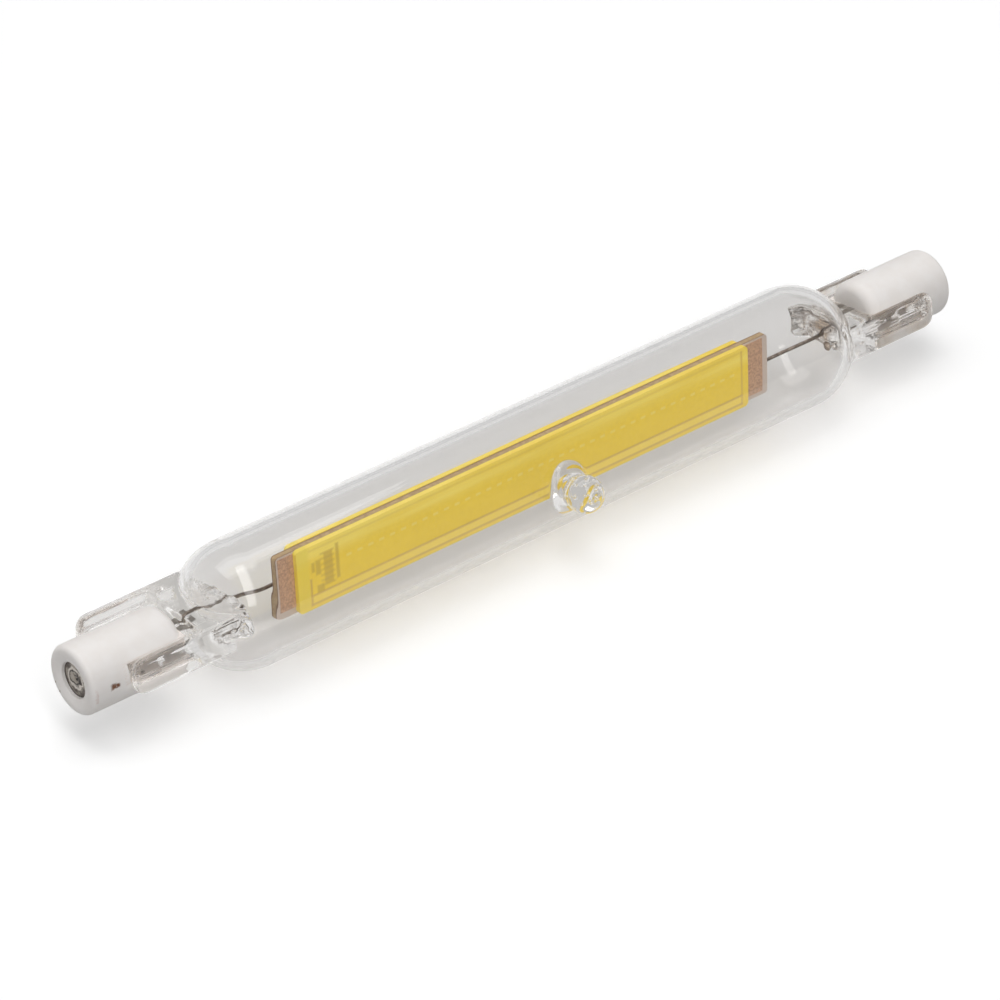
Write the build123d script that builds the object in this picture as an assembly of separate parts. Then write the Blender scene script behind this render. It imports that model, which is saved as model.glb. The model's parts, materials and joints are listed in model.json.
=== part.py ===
from build123d import *
import os
from math import sqrt

# Double-ended linear lamp: a sealed glass tube with a light board inside, pinched flat at both
# ends, with a slotted ceramic cap over each pinch. X runs along the lamp, Z is up as it lies,
# and the origin is on the tube's axis, midway between the two contacts. Sizes in millimetres.

# Whole lamp
CAP_END = 57.6
TUBE_RADIUS = 6.8
WALL = 1.0
BORE_RADIUS = TUBE_RADIUS - WALL
TUBE_END = 37.0
BORE_TAPER = ((40.2, 4.9), (42.7, 1.4))

# Pressed seals: an I-section of two ribs with a web between them, out of a round shoulder
SEAL_START = 40.0
RIB_END = 53.5
RIB_OUTER = 5.25
RIB_INNER = 4.1
RIB_HALF_HEIGHT = 2.05
RIB_EDGE = 0.5
RIB_NOSE = 1.3
WEB_HALF = 0.95
POCKET_START = 45.3
POCKET_CORNER = 1.4
BEAD_RADIUS = 0.3
BEAD_SUNK = 0.22
BEAD_OFFSET = 2.3
BEAD_START = 46.4
BEAD_END = 52.9
TONGUE_RADIUS = 4.5
TONGUE_HALF = 1.1
TONGUE_EDGE = 0.7

# Each end as it was pressed: how far the seal sits above the axis, its twist, how far from the
# middle the glass tongue round the lead starts, where lead and foil lie, and how high the cap sits
SEALS = {
    "left": {
        "side": -1,
        "lift": 0.9,
        "twist": 0.0,
        "tongue": 37.2,
        "lead_y": 0.0,
        "foil_y": -0.6,
        "cap_lift": 0.0,
    },
    "right": {
        "side": 1,
        "lift": 0.3,
        "twist": -8.0,
        "tongue": 39.6,
        "lead_y": -0.6,
        "foil_y": 0.2,
        "cap_lift": 0.5,
    },
}

# Exhaust tip, fused shut, on the side of the tube
TIP_TURN = 10.0
TIP_BALL_RADIUS = 2.05
TIP_BALL_CENTRE = 9.2
TIP_NECK_RADIUS = 1.68
TIP_NECK_START = 7.45
TIP_FOOT_RADIUS = 2.7
TIP_FOOT_START = 6.0
TIP_BORE_RADIUS = 0.75
TIP_BORE_START = 5.2
TIP_BORE_END = 7.9

# Ceramic caps
CAP_RADIUS = 3.72
CAP_REAR = 46.2
CAP_ROUND = ((56.95, 3.72), (57.4, 3.5))
CAP_RIM = 3.0
MOUTH_DEPTH = 0.2
RECESS_RADIUS = 1.95
RECESS_DEPTH = 0.5
SLOT_END = 53.8
SLOT_HALF = 1.1
TAIL_HOLE_HALF = 1.2
TAIL_HOLE_START = 53.3

# Contacts, each a little behind the recess on a tapered seat
CONTACT_SETBACK = 0.1
CONTACT_THICK = 0.6
CONTACT_BACK_RADIUS = 1.6
SEAT_SLOPE = (RECESS_RADIUS - CONTACT_BACK_RADIUS) / (CONTACT_SETBACK + CONTACT_THICK)
CONTACT_RADIUS = RECESS_RADIUS - SEAT_SLOPE * CONTACT_SETBACK
CONTACT_FACE = CAP_END - RECESS_DEPTH - CONTACT_SETBACK
CONTACT_BACK = CONTACT_FACE - CONTACT_THICK
CONTACT_DIMPLE_RADIUS = 0.4
CONTACT_DIMPLE_DEPTH = 0.2
TAIL_HALF_WIDTH = 0.6
TAIL_HALF_THICK = 0.3
TAIL_END = 55.4

# Current path through the seal
FOIL_START = 42.2
FOIL_END = 48.6
FOIL_WIDTH = 2.1
FOIL_THICK = 0.12
OUTER_LEAD_RADIUS = 0.3
LEAD_RADIUS = 0.2
LEAD_IN_GLASS = 0.7
LEAD_CLEAR = 0.8
LEAD_ON_PAD = 1.4

# Light board, drawn upright in its own frame with its front towards -Y
BOARD_HALF_LENGTH = 33.0
BOARD_WIDTH = 7.15
BOARD_THICK = 0.8
BOARD_LEAN = -3.8
BOARD_DROP = -0.3
BOARD_CORNER = 0.4
COPPER = 0.07
PHOSPHOR_LEFT = -30.9
PHOSPHOR_RIGHT = 29.7
PHOSPHOR_WIDTH = 7.3
PHOSPHOR_THICK = 0.6
PHOSPHOR_CORNER = 0.5
PAD_TOP = 3.35
PAD_BOTTOM = {"left": -2.75, "right": -3.05}
PAD_END_GAP = {"left": 0.2, "right": 0.75}
LEAD_Z = {"left": 0.2, "right": -0.35}
SOLDER_SIZE = (1.5, 0.45, 1.1)
SOLDER_INSET = 1.25
SOLDER_EDGE = 0.2

# Printed track and the parts on it, in the board's frame
TRACK_LEFT = -29.4
TRACK_RIGHT = 28.9
TRACK_TOP = 3.3
TRACK_BOTTOM = -3.2
TRACK_WIDTH = 0.25
TRACK_FEED_HALF = 0.4
TRACK_LAP = 0.1
RETURN_TRACK_Z = -2.0
RETURN_TRACK_LEFT = -26.5
CHIP_COUNT = 38
CHIP_FIRST = -24.4
CHIP_PITCH = 1.4
CHIP_SIZE = (0.85, 0.16, 0.5)
CHIP_Z = 0.9
DRIVER_PARTS = {
    "driver_ic": (-27.0, 0.5, (1.1, 0.34, 3.7)),
    "rectifier": (-28.3, 1.0, (0.6, 0.34, 1.7)),
    "shunt_resistor": (-25.85, 0.8, (0.4, 0.25, 4.0)),
    "input_resistor": (-28.92, 1.2, (0.4, 0.25, 1.1)),
    "smoothing_capacitor": (-28.1, -1.5, (0.9, 0.34, 0.9)),
}


def to_side(shape, seal):
    """Shapes are drawn along +X and mirrored for the left end."""
    return shape if seal["side"] > 0 else mirror(shape, about=Plane.YZ)


def seal_place(seal):
    return Location((0, 0, seal["lift"])) * Rotation(seal["twist"], 0, 0)


def at_seal(shape, seal):
    return seal_place(seal) * to_side(shape, seal)


def at_cap(shape, seal):
    return Location((0, 0, seal["cap_lift"])) * to_side(shape, seal)


def at_board(shape):
    return Location((0, 0, BOARD_DROP)) * Rotation(BOARD_LEAN, 0, 0) * shape


def block(x0, x1, y0, y1, z0, z1):
    middle = Location(((x0 + x1) / 2, (y0 + y1) / 2, (z0 + z1) / 2))
    return middle * Box(x1 - x0, y1 - y0, z1 - z0)


def rod(radius, x0, x1, y=0.0, z=0.0):
    return Location(((x0 + x1) / 2, y, z)) * Rotation(0, 90, 0) * Cylinder(radius, x1 - x0)


def tube_outside():
    """The tube with a round shoulder at each end."""
    tip = TUBE_END + TUBE_RADIUS
    outline = [
        Line((-TUBE_END, TUBE_RADIUS), (TUBE_END, TUBE_RADIUS)),
        CenterArc((TUBE_END, 0), TUBE_RADIUS, 90, -90),
        Line((tip, 0), (-tip, 0)),
        CenterArc((-TUBE_END, 0), TUBE_RADIUS, 180, -90),
    ]
    return revolve(make_face(Curve() + outline), Axis.X)


def tube_inside():
    """The hollow, whose ends taper as the shoulders close in."""
    right = [(TUBE_END, BORE_RADIUS), *BORE_TAPER]
    left = [(-x, radius) for x, radius in reversed(right)]
    end = BORE_TAPER[-1][0]
    outline = Polyline((-end, 0), *left, *right, (end, 0), close=True)
    return revolve(make_face(outline), Axis.X)


def pressed_seal():
    """The I-section along +X, with rounded rib ends and two beads on each face of the web."""
    bar = block(SEAL_START, RIB_END, -RIB_OUTER, RIB_OUTER, -RIB_HALF_HEIGHT, RIB_HALF_HEIGHT)
    side_view = fillet(bar.edges().filter_by(Axis.Y).sort_by(Axis.X)[-2:], RIB_NOSE)
    bar = fillet(bar.edges().filter_by(Axis.X), RIB_EDGE) & side_view
    pocket = block(POCKET_START, 2 * RIB_END, -RIB_INNER, RIB_INNER, WEB_HALF, 2 * RIB_HALF_HEIGHT)
    pocket = fillet(pocket.edges().filter_by(Axis.Z).sort_by(Axis.X)[:2], POCKET_CORNER)
    bar -= pocket
    bar -= mirror(pocket, about=Plane.XY)
    for y in (-BEAD_OFFSET, BEAD_OFFSET):
        bead = rod(BEAD_RADIUS, BEAD_START, BEAD_END, y, WEB_HALF - BEAD_SUNK)
        bar += bead
        bar += mirror(bead, about=Plane.XY)
    return bar


def tongue(reach):
    """The rounded mass of glass that the press leaves round the lead, inside the tube."""
    disc = Location((reach + TONGUE_RADIUS, 0, 0)) * Cylinder(TONGUE_RADIUS, 2 * TONGUE_HALF)
    return chamfer(disc.edges().filter_by(GeomType.CIRCLE), TONGUE_EDGE)


def tip_outside():
    """Foot, neck and ball, turned about the tip's own axis, which is drawn along +Y."""
    join = TIP_BALL_CENTRE - sqrt(TIP_BALL_RADIUS**2 - TIP_NECK_RADIUS**2)
    top = TIP_BALL_CENTRE + TIP_BALL_RADIUS
    foot = (TIP_FOOT_RADIUS, TIP_FOOT_START)
    neck = (TIP_NECK_RADIUS, TIP_NECK_START)
    outline = [
        ThreePointArc((0, top), (TIP_BALL_RADIUS, TIP_BALL_CENTRE), (TIP_NECK_RADIUS, join)),
        Line((TIP_NECK_RADIUS, join), neck),
        Polyline(neck, foot, (0, TIP_FOOT_START), (0, top)),
    ]
    return revolve(make_face(Curve() + outline), Axis.Y)


def tip_bore():
    """What is left of the exhaust passage, nipped shut inside the ball."""
    outline = Polyline(
        (0, TIP_BORE_START),
        (TIP_BORE_RADIUS, TIP_BORE_START),
        (TIP_BORE_RADIUS, TIP_BORE_END),
        (0, TIP_BORE_END),
        (0, TIP_BORE_START),
    )
    return revolve(make_face(outline), Axis.Y)


def glass_envelope(conductors):
    turn = Rotation(-TIP_TURN, 0, 0) * Rotation(0, 0, 180)
    body = tube_outside()
    cavity = tube_inside()
    for seal in SEALS.values():
        body += at_seal(pressed_seal(), seal)
        cavity -= at_seal(tongue(seal["tongue"]), seal)
    body += turn * tip_outside()
    body -= cavity
    body -= turn * tip_bore()
    for conductor in conductors:
        body -= conductor
    return body


def slot_space():
    """Room right across the cap for the web of the seal."""
    wide = 2 * CAP_RADIUS
    return block(SEAL_START, SLOT_END, -wide, wide, -SLOT_HALF, SLOT_HALF)


def tail_hole():
    """Square hole between the slot and the contact's seat."""
    half = TAIL_HOLE_HALF
    return block(TAIL_HOLE_START, CONTACT_BACK, -half, half, -half, half)


def cap_blank():
    """Turned ceramic cap with a dished mouth, a round recess and a tapered seat behind it."""
    outline = Polyline(
        (CAP_REAR, 0),
        (CAP_REAR, CAP_RADIUS),
        *CAP_ROUND,
        (CAP_END, CAP_RIM),
        (CAP_END - MOUTH_DEPTH, RECESS_RADIUS),
        (CAP_END - RECESS_DEPTH, RECESS_RADIUS),
        (CONTACT_BACK, CONTACT_BACK_RADIUS),
        (CONTACT_BACK, 0),
        (CAP_REAR, 0),
    )
    return revolve(make_face(outline), Axis.X) - tail_hole()


def contact():
    """Pressed metal cup at the bottom of the recess, with a flat tail towards the seal."""
    outline = Polyline(
        (CONTACT_FACE - CONTACT_DIMPLE_DEPTH, 0),
        (CONTACT_FACE, CONTACT_DIMPLE_RADIUS),
        (CONTACT_FACE, CONTACT_RADIUS),
        (CONTACT_BACK, CONTACT_BACK_RADIUS),
        (CONTACT_BACK, 0),
        (CONTACT_FACE - CONTACT_DIMPLE_DEPTH, 0),
    )
    wide, thin = TAIL_HALF_WIDTH, TAIL_HALF_THICK
    return revolve(make_face(outline), Axis.X) + block(TAIL_END, CONTACT_BACK, -wide, wide, -thin, thin)


def lead_axis(seal):
    """Sideways place and height of the leads where they run along the seal."""
    on_axis = seal_place(seal) * Location((0, seal["lead_y"], 0))
    return on_axis.position.Y, on_axis.position.Z


def wire(points, radius):
    """Round wire along straight runs, mitred where it is bent."""
    path = Polyline(*points)
    start = Plane(origin=path @ 0, z_dir=path % 0)
    return sweep(start * Circle(radius), path=path, transition=Transition.RIGHT)


def outer_lead(seal, foil_strip, tail):
    """Straight from the foil's outer end to the back of the contact's tail."""
    side = seal["side"]
    points = [(side * FOIL_END, *lead_axis(seal)), (side * TAIL_END, 0, seal["cap_lift"])]
    return wire(points, OUTER_LEAD_RADIUS) - foil_strip - tail


def foil(seal):
    y = seal["foil_y"]
    half = FOIL_WIDTH / 2
    thin = FOIL_THICK / 2
    return at_seal(block(FOIL_START, FOIL_END, y - half, y + half, -thin, thin), seal)


def lead_wire(seal, name):
    """From the foil, through the glass tongue, to the pad on the back of the board."""
    side = seal["side"]
    y, z = lead_axis(seal)
    on_pad = Location((0, BOARD_THICK / 2 + COPPER + LEAD_RADIUS, LEAD_Z[name]))
    end = at_board(on_pad).position
    points = [
        (side * FOIL_START, y, z),
        (side * (seal["tongue"] - LEAD_IN_GLASS), y, z),
        (side * (BOARD_HALF_LENGTH + LEAD_CLEAR), end.Y, end.Z),
        (side * (BOARD_HALF_LENGTH - LEAD_ON_PAD), end.Y, end.Z),
    ]
    return wire(points, LEAD_RADIUS)


def board():
    half = BOARD_HALF_LENGTH
    body = Box(2 * half, BOARD_THICK, BOARD_WIDTH)
    return at_board(fillet(body.edges().filter_by(Axis.Y), BOARD_CORNER))


def layer(face, x0, x1, thick, z0, z1, lift=0.0):
    """A block on the front (-1) or back (1) face of the board, in the board's frame."""
    near = BOARD_THICK / 2 + lift
    y0, y1 = (-near - thick, -near) if face < 0 else (near, near + thick)
    return block(x0, x1, y0, y1, z0, z1)


def pad(face, name):
    z0, z1 = PAD_BOTTOM[name], PAD_TOP
    edge = BOARD_HALF_LENGTH - PAD_END_GAP[name]
    x0, x1 = (-edge, PHOSPHOR_LEFT) if name == "left" else (PHOSPHOR_RIGHT, edge)
    return layer(face, x0, x1, COPPER, z0, z1)


def track(face):
    """Ring of copper round the board, joined to both pads, with a return line inside."""
    body = layer(face, TRACK_LEFT, TRACK_RIGHT, COPPER, TRACK_BOTTOM, TRACK_TOP)
    body -= layer(
        face,
        TRACK_LEFT + TRACK_WIDTH,
        TRACK_RIGHT - TRACK_WIDTH,
        COPPER,
        TRACK_BOTTOM + TRACK_WIDTH,
        TRACK_TOP - TRACK_WIDTH,
    )
    return_top = RETURN_TRACK_Z + TRACK_WIDTH
    right = TRACK_RIGHT - TRACK_LAP
    feed = TRACK_FEED_HALF
    body += layer(face, RETURN_TRACK_LEFT, right, COPPER, RETURN_TRACK_Z, return_top)
    body += layer(face, PHOSPHOR_LEFT, TRACK_LEFT + TRACK_LAP, COPPER, -feed, feed)
    body += layer(face, right, PHOSPHOR_RIGHT, COPPER, -feed, feed)
    return body


def mounted(face, x, z, size, lift=0.0):
    """A small block on a face of the board, by its middle and its size."""
    length, thick, height = size
    half, rise = length / 2, height / 2
    return layer(face, x - half, x + half, thick, z - rise, z + rise, lift)


def chips(face):
    places = (CHIP_FIRST + index * CHIP_PITCH for index in range(CHIP_COUNT))
    return [mounted(face, x, CHIP_Z, CHIP_SIZE) for x in places]


def chip_channel(face):
    """The long hollow in the phosphor layer that the row of chips sits in."""
    length, thick, height = CHIP_SIZE
    reach = (CHIP_COUNT - 1) * CHIP_PITCH
    return mounted(face, CHIP_FIRST + reach / 2, CHIP_Z, (reach + length, thick, height))


def phosphor(face, buried):
    """Soft yellow layer over the chips, open to the board behind each buried piece."""
    half = PHOSPHOR_WIDTH / 2
    body = layer(face, PHOSPHOR_LEFT, PHOSPHOR_RIGHT, PHOSPHOR_THICK, -half, half)
    body = fillet(body.edges().filter_by(Axis.Y), PHOSPHOR_CORNER)
    return body - buried


def solder(seal, name, wire_solid):
    """Joint between the lead and the pad on the back of the board."""
    body = mounted(1, BOARD_HALF_LENGTH - SOLDER_INSET, LEAD_Z[name], SOLDER_SIZE, COPPER)
    body = to_side(body, seal)
    body = chamfer(body.faces().sort_by(Axis.Y)[-1].edges(), SOLDER_EDGE)
    return at_board(body) - wire_solid


def cement(seal, glass, metal):
    """Set cement in the slot, between the cap and the seal and round the contact's tail."""
    inside = at_cap(rod(CAP_RADIUS, CAP_REAR, CAP_ROUND[0][0]), seal)
    body = (at_seal(slot_space(), seal) & inside) + at_cap(tail_hole(), seal)
    return body - glass - metal


def build():
    parts = {}
    leads = {name: lead_wire(seal, name) for name, seal in SEALS.items()}
    foils = {name: foil(seal) for name, seal in SEALS.items()}
    tails = {name: at_cap(contact(), seal) for name, seal in SEALS.items()}
    outer = {name: outer_lead(seal, foils[name], tails[name]) for name, seal in SEALS.items()}
    conductors = list(leads.values()) + list(foils.values()) + list(outer.values())
    glass = glass_envelope(conductors)
    parts["glass_envelope"] = glass
    for name, seal in SEALS.items():
        parts[f"end_cap_{name}"] = at_cap(cap_blank(), seal) - at_seal(slot_space(), seal)
        parts[f"contact_{name}"] = tails[name]
        parts[f"cement_{name}"] = cement(seal, glass, [outer[name], foils[name], tails[name]])
        parts[f"outer_lead_{name}"] = outer[name]
        parts[f"foil_{name}"] = foils[name]
        parts[f"lead_wire_{name}"] = leads[name]
        parts[f"solder_joint_{name}"] = solder(seal, name, leads[name])
    parts["board"] = board()
    for face, label in ((-1, "front"), (1, "back")):
        for name in SEALS:
            parts[f"pad_{label}_{name}"] = at_board(pad(face, name))
        copper = track(face)
        buried = [copper, chip_channel(face)]
        if face < 0:
            for name, (x, z, size) in DRIVER_PARTS.items():
                piece = mounted(-1, x, z, size)
                buried.append(piece)
                parts[name] = at_board(piece)
        parts[f"track_{label}"] = at_board(copper)
        parts[f"led_chips_{label}"] = at_board(Compound(chips(face)))
        parts[f"phosphor_{label}"] = at_board(phosphor(face, buried))
    return parts


os.makedirs("parts", exist_ok=True)
for node, shape in build().items():
    export_step(shape, f"parts/{node}.step")
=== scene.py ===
import bmesh
import bpy
import json
from math import cos, pi, radians, sin, sqrt
from mathutils import Matrix, Vector, noise


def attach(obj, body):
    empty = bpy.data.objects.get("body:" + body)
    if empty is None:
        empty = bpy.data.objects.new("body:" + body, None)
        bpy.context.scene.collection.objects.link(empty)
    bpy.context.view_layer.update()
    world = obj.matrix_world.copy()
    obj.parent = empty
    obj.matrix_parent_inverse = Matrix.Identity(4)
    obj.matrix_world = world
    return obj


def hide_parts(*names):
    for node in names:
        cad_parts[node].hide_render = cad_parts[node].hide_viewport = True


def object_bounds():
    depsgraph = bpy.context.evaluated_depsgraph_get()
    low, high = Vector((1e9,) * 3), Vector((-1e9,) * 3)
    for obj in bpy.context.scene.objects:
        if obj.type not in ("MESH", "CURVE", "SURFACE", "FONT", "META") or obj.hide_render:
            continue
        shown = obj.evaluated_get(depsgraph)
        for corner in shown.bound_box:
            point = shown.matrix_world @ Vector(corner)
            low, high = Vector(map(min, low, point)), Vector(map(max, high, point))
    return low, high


# A double-ended linear lamp, lying on a pale floor: clear pressed glass round a light board,
# with a slotted ceramic cap over each seal. Shapes are drawn in millimetres along the lamp's
# axis, which is X, and a piece goes to metres when it is finished.

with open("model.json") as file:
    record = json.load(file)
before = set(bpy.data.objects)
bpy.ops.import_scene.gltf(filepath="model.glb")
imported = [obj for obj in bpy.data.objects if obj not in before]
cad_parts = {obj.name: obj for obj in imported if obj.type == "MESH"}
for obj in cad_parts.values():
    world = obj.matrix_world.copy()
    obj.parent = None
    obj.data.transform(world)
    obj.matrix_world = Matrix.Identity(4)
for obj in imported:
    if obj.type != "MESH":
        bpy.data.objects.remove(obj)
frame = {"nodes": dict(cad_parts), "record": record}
CAD_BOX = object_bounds()
MM = 0.001
MILLIMETRES = (1 / MM, 1 / MM, 1 / MM)

# Tube and tip
TUBE_RADIUS = 6.8
BORE_RADIUS = 5.8
TUBE_END = 37.0
BORE_DEPTH = 5.7
TIP_TURN = 10.0
TIP_BALL_RADIUS = 2.05
TIP_BALL_CENTRE = 9.2
TIP_NECK_RADIUS = 1.68
TIP_FOOT_RADIUS = 3.1
TIP_FOOT_START = 6.0
TIP_FLARE_RADIUS = 2.6
TIP_FLARE_START = 6.8
TIP_NECK_START = 7.45
TIP_BORE_RADIUS = 0.75
TIP_BORE_START = 5.2
TIP_BORE_END = 7.9

# Pressed seals
SEAL_START = 40.0
RIB_END = 53.5
RIB_OUTER = 5.25
RIB_INNER = 4.1
RIB_HALF_HEIGHT = 2.05
RIB_EDGE = 0.45
RIB_NOSE = 1.3
RIB_ROUND = 3
NOSE_ROUND = 8
WEB_HALF = 0.95
WEB_EDGE = 0.2
POCKET_START = 45.3
BEAD_RADIUS = 0.3
BEAD_RISE = 0.73
BEAD_OFFSET = 2.3
BEAD_START = 46.4
BEAD_END = 52.9
TONGUE_HALF = 0.8
TONGUE_EDGE = 0.5
FOIL_START = 43.7
FOIL_END = 48.6
FOIL_HALF_THICK = 0.06
FOIL_STRIPS = ((-1.05, -0.25), (0.2, 1.05))
FOIL_SHIFT = {"left": -0.6, "right": 0.2}
LIP_FRONT = 39.3
LIP_HALF_WIDTH = 5.2
SEALS = {
    "left": {"side": -1, "lift": 0.9, "twist": 0.0, "cap_lift": 0.0},
    "right": {"side": 1, "lift": 0.3, "twist": -8.0, "cap_lift": 0.5},
}

# Tongue of each seal: where it starts, how deep and wide it is, and how far it sits off the axis
TONGUES = {
    "left": (38.5, 1.8, 4.2, -1.0),
    "right": (40.1, 1.8, 2.6, -0.2),
}

# Lumps in a row along the edge of the pressed glass: place and radius
LUMPS = {
    "left": (
        (-40.5, 4.6, 1.3, 0.7),
        (-40.2, 3.5, 1.4, 0.85),
        (-39.8, 2.4, 1.4, 0.75),
        (-39.5, 1.3, 1.4, 0.9),
        (-39.2, 0.2, 1.3, 0.75),
        (-39.0, -1.0, 1.3, 0.85),
        (-39.0, -2.3, 1.2, 0.8),
        (-39.4, -3.5, 1.1, 0.8),
        (-40.3, -4.5, 1.1, 0.7),
    ),
    "right": (
        (40.5, 0.7, 0.8, 0.75),
        (40.7, -0.9, 0.2, 0.7),
        (40.6, -1.9, -0.4, 0.6),
        (41.3, -2.8, -0.2, 0.55),
        (41.5, 1.9, 0.9, 0.6),
    ),
}

# Bubbles that the press left in the glass: place and radius, and how they were drawn out
BUBBLE_STRETCH = (1.5, 1.0, 0.8)
BUBBLES = (
    (-38.9, 0.5, 1.1, 0.36),
    (-38.8, -1.6, 1.0, 0.32),
    (-39.1, -2.1, 0.9, 0.24),
    (-39.9, 1.9, 0.8, 0.2),
    (-40.3, 1.1, 0.9, 0.16),
    (-39.7, -3.5, 0.8, 0.34),
    (-41.4, -3.9, 1.0, 0.2),
    (-42.4, -4.2, 0.9, 0.3),
    (-43.6, -4.4, 1.3, 0.16),
    (-41.2, 3.4, 1.0, 0.18),
    (41.3, -3.9, -0.1, 0.34),
    (42.0, -4.3, 0.4, 0.22),
    (42.6, -4.4, -0.5, 0.16),
    (43.3, -3.9, 0.2, 0.26),
    (44.6, -4.5, 0.9, 0.14),
    (42.9, 2.6, 0.4, 0.2),
    (43.9, -1.8, 0.5, 0.14),
)

# Fine bubbles in the ball of the tip
SEED_COUNT = 22
SEED_REACH = 1.55
SEED_RADIUS = 0.09
SEED_NEAREST = 0.55

# Glass mesh: size of its cells, how far it is smoothed, where the straight runs are, and how near
# to the blown form a point is drawn onto it, wholly or in part
CELL = 0.2
MELT_TURNS = 4
DRAWN_WHOLLY = 0.06
DRAWN_PARTLY = 0.3
STRAIGHT_START = 6.0
STRAIGHT_END = 36.6
RING_STEPS = 128

# Waves in the pressed glass
WAVE_DEPTH = 0.012
WAVE_SIZE = 1.5
WAVE_START = 39.5
WAVE_FADE = 3.0
WAVE_SEED = 1

# Clear glass, along the lamp: where it was pressed, where fume browned it, and how that grows to the
# right; the brown root of the right seal; and streaks per metre on each axis
GLASS_INDEX = 1.47
PRESSED_START = 40.0
PRESSED_FULL = 44.0
PRESSED_STREAKS = (45, 2000, 2000)
FUME_START = 41.0
FUME_FULL = 46.0
FUME_LEFT = -60.0
FUME_RIGHT = 30.0
ROOT_MIDDLE = (41.5, -0.4, 0.2)
ROOT_HALF = (1.3, 1.7, 1.3)
ROOT_SOFT = 0.6

# How many times light turns inside the glass before it is taken as evenly spread and shown by a painted
# glow, how bright that glow is, and how strong the painted glow of the pressed glass is, which lifts its
# dark parts, with more of it at the left
LONG_WAY = 8
TRAPPED_GLOW = 0.18
PRESSED_PAINTED_GLOW = 0.014
LEFT_PAINTED_GLOW = 0.02

# Caps
CAP_RADIUS = 3.72
CAP_REAR = 46.2
CAP_END = 57.6
CAP_EDGE = 0.65
CAP_BACK_EDGE = 1.3
CAP_RIM = 2.9
MOUTH_DEPTH = 0.2
RECESS_RADIUS = 1.95
RECESS_DEPTH = 0.5
SEAT_DEPTH = 0.7
SEAT_RADIUS = 1.6
RIM_DROP = 0.03
RIM_WIDTH = 0.25
MOUTH_CHAMFER = 0.1
MOUTH_CLEAR = 0.12
SLOT_FLOOR = 53.2
SLOT_HALF = 1.1
SLOT_PAST = 5.0
SLOT_EDGE = 0.15
SHARP_TURN = 40.0

# Light board, upright in its own frame with its front towards -Y
BOARD_LEAN = -3.8
BOARD_DROP = -0.3
BOARD_HALF_THICK = 0.4
BOARD_REACH = 40.0
THROUGH_BOARD = 5.0
PHOSPHOR_LEFT = -30.9
TRACK_LEFT = -29.4
TRACK_RIGHT = 28.9
TRACK_TOP = 3.3
TRACK_BOTTOM = -3.2
TRACK_WIDTH = 0.25
RETURN_TRACK_Z = -1.9
CHIP_FIRST = -24.4
CHIP_LAST = 27.4
CHIP_PITCH = 1.4
CHIP_Z = 0.9
DRIVER_PARTS = (
    (-27.0, 0.5, 1.1, 3.7),
    (-28.3, 1.0, 0.6, 1.7),
    (-25.85, 0.8, 0.4, 4.0),
    (-28.92, 1.2, 0.4, 1.1),
    (-28.1, -1.5, 0.9, 0.9),
)
IC_PINS = (-28.0, -26.2, -1.5, 2.5)
IC_PIN_FIRST = 0.5
IC_PIN_PITCH = 0.62
DASH_SOFT = 0.05
# Streaks per metre on each axis, in the painted sheen on the phosphor
SHEEN_STREAKS = (60, 900, 900)

# Leads inside the tube, as they were bent
LEAD_RADIUS = 0.2
LEADS = {
    "left": (
        (-44.4, -0.3, 0.9),
        (-39.8, 0.0, 0.9),
        (-37.6, 0.05, 0.98),
        (-36.6, 0.2, 0.75),
        (-35.0, 0.5, 0.15),
        (-33.9, 0.66, -0.12),
        (-32.8, 0.68, -0.14),
        (-31.6, 0.68, -0.14),
    ),
    "right": (
        (44.4, -0.5, 0.38),
        (39.8, -0.63, 0.38),
        (38.0, -0.4, 0.2),
        (35.0, 0.4, -0.45),
        (33.8, 0.62, -0.68),
        (32.6, 0.65, -0.69),
        (31.6, 0.65, -0.69),
    ),
}

# Floor, and how much duller it is through glass and where light bounces off it
FLOOR_REACH = 3.0
FLOOR_WHITE = 0.8
FLOOR_GLOW = 0.33
FLOOR_LESS_THROUGH_GLASS = 0.22
FLOOR_LESS_BOUNCED = 0.35

# Room: its white falls off between two heights, and its dim fill between two sides
ROOM_HEIGHTS = (0.2, 0.6)
ROOM_WHITES = (0.85, 0.5)
ROOM_SIDES = (-1.0, 0.5)
ROOM_DIMS = (0.55, 0.2)

# Camera, in metres, and its lens in millimetres
CAMERA_PLACE = (-0.25104, -0.29478, 0.25546)
CAMERA_AIM = (0.53415, 0.63656, -0.55630)
LENS = 162.0
SENSOR = 36.0


def remove_scrap(obj):
    mesh = obj.data
    bpy.data.objects.remove(obj)
    bpy.data.meshes.remove(mesh)


def scrap(bm, name):
    """A working object, still in millimetres."""
    mesh = bpy.data.meshes.new(name)
    bm.to_mesh(mesh)
    bm.free()
    obj = bpy.data.objects.new(name, mesh)
    bpy.context.scene.collection.objects.link(obj)
    return obj


def settled(obj):
    """The mesh that a working object's modifiers make, as a bmesh. The object goes."""
    graph = bpy.context.evaluated_depsgraph_get()
    mesh = bpy.data.meshes.new_from_object(obj.evaluated_get(graph))
    bm = bmesh.new()
    bm.from_mesh(mesh)
    bpy.data.meshes.remove(mesh)
    remove_scrap(obj)
    return bm


def add_piece(bm, name, material, nodes, smooth=True):
    """A piece in metres that rides on the lamp and stands for its CAD nodes."""
    bmesh.ops.scale(bm, vec=(MM, MM, MM), verts=bm.verts)
    for face in bm.faces:
        face.smooth = smooth
    piece = scrap(bm, name)
    piece.data.materials.append(material)
    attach(piece, "root")
    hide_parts(*nodes)
    return piece


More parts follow.
